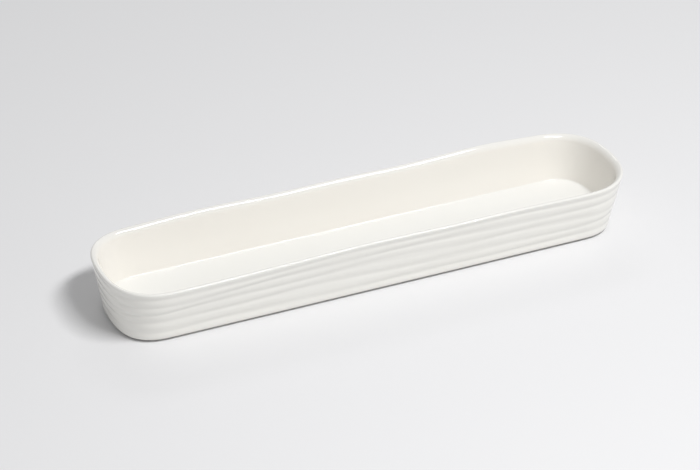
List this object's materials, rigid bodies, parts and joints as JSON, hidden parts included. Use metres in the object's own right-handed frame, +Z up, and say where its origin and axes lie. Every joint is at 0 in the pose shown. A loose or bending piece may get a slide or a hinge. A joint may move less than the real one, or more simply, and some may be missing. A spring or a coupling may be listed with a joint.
{
  "type": "cracker tray",
  "caption": "Long, narrow glazed ceramic tray with rounded ends, a leaning wall with soft finger grooves and an uneven rim, for a row of crackers stood on edge.",
  "frame": {"origin": "centre of the tray on the plane that the foot ring stands on", "axes": "+X along the tray's length, +Y across it, +Z up"},
  "size_m": [0.305, 0.07, 0.0354],
  "materials": {
    "white_glaze": "glossy warm white glaze over white clay",
    "bare_clay": "bare fired clay, matt"
  },
  "bodies": {
    "root": {"tray_wall": "white_glaze", "floor_slab": "white_glaze", "foot_ring": "bare_clay"}
  },
  "joints": []
}
